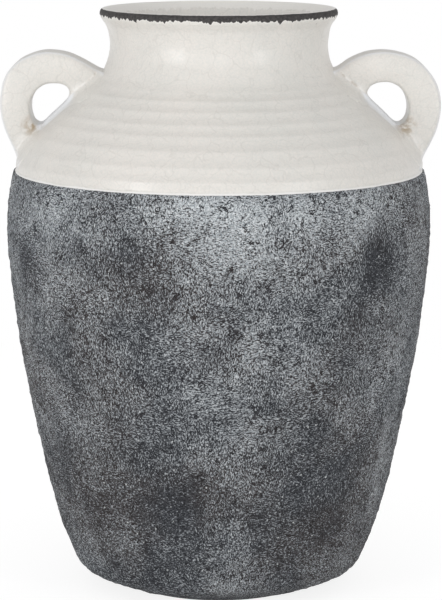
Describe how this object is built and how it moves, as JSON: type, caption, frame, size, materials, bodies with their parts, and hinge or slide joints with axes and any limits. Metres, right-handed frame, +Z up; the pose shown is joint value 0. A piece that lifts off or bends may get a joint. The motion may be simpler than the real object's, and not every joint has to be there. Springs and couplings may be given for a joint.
{
  "type": "two-handled vase",
  "caption": "Open-mouthed stoneware vase with a rough dark body, a glazed ringed shoulder and neck, a flared lip with a dark edge and a strap handle on each side of the neck.",
  "frame": {"origin": "on the standing surface, under the vase's axis", "axes": "+Z up along the vase's axis, the handles to +X and -X, the front to -Y"},
  "size_m": [0.3012, 0.2908, 0.4],
  "materials": {
    "rough_slip": "coarse charcoal grog slip, dry brushed with pale grey",
    "crackle_glaze": "satin off-white crackle glaze",
    "handle_glaze": "satin off-white crackle glaze, stained brown in its crooks",
    "lip_slip": "dry charcoal slip band"
  },
  "bodies": {
    "root": {"base": "rough_slip", "lower_body": "rough_slip", "shoulder": "crackle_glaze", "neck": "crackle_glaze", "lip": "lip_slip", "right_handle": "handle_glaze", "left_handle": "handle_glaze"}
  },
  "joints": []
}
